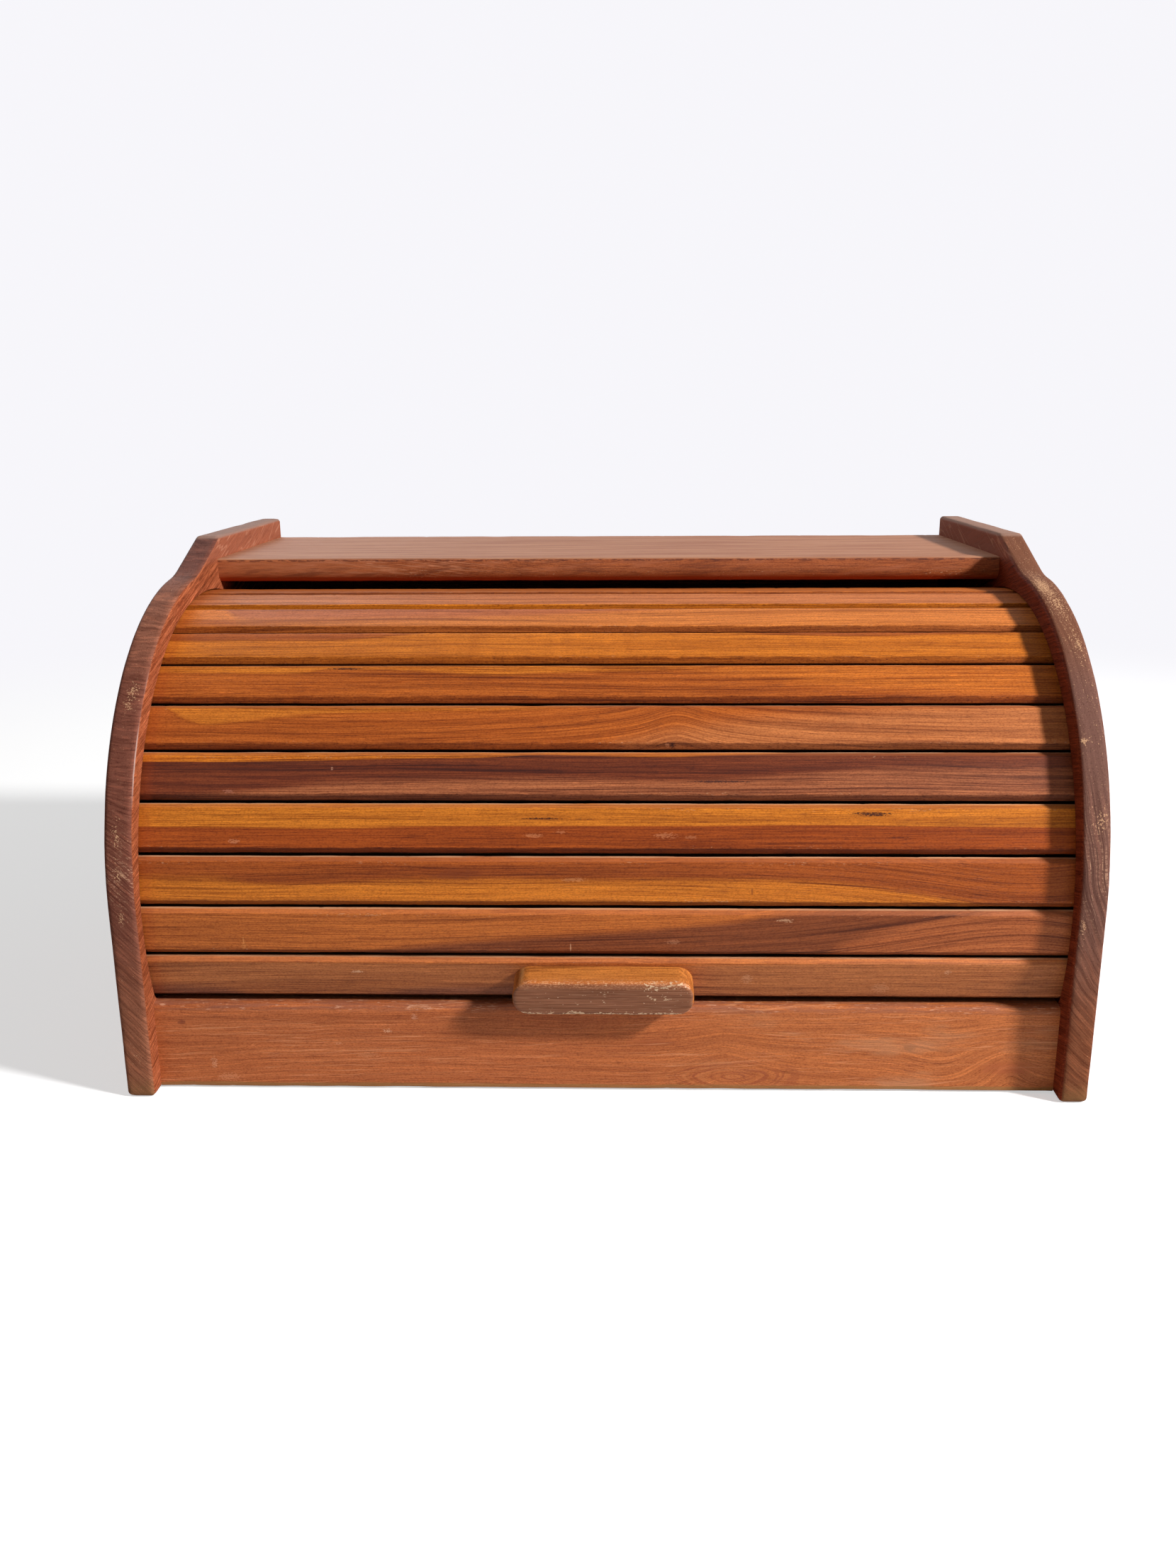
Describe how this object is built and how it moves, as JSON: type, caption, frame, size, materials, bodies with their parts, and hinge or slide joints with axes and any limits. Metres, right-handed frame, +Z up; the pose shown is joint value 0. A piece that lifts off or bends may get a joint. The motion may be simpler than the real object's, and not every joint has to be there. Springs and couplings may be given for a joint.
{
  "type": "roll-top bread box",
  "caption": "Wooden roll-top bread box: shaped sides, a top shelf, a front rail, and a slatted tambour with a block handle that rolls up and back inside the case.",
  "frame": {"origin": "centre of the footprint, on the surface that the box stands on, with the handle counted in the depth", "axes": "+X to the right as seen from the front, +Y towards the back, +Z up"},
  "size_m": [0.42, 0.2886, 0.231],
  "materials": {
    "side_teak": "oiled teak, worn on the front edges",
    "shelf_teak": "oiled teak, satin",
    "rail_teak": "oiled teak, satin",
    "slat_teak": "oiled teak, satin",
    "board_teak": "plain teak board",
    "handle_teak": "teak, worn by handling",
    "dowel_beech": "raw beech",
    "canvas_cloth": "unbleached cotton canvas",
    "screw_brass": "dulled brass"
  },
  "bodies": {
    "case": {"left_side": "side_teak", "right_side": "side_teak", "shelf": "shelf_teak", "front_rail": "rail_teak", "bottom_board": "board_teak", "back_board": "board_teak", "shelf_dowels": "dowel_beech", "rail_dowels": "dowel_beech", "back_screws": "screw_brass"},
    "roll_top": {"slat_01": "slat_teak", "slat_02": "slat_teak", "slat_03": "slat_teak", "slat_04": "slat_teak", "slat_05": "slat_teak", "slat_06": "slat_teak", "slat_07": "slat_teak", "slat_08": "slat_teak", "slat_09": "slat_teak", "slat_10": "slat_teak", "slat_11": "slat_teak", "slat_12": "slat_teak", "slat_canvas": "canvas_cloth", "handle": "handle_teak", "handle_screws": "screw_brass"}
  },
  "joints": [
    {"name": "roll_top_turn", "type": "hinge", "parent": "case", "child": "roll_top", "pos_m": [0, -0.00847, 0.0806], "axis": [-1, 0, 0], "range_deg": [0, 103]}
  ]
}
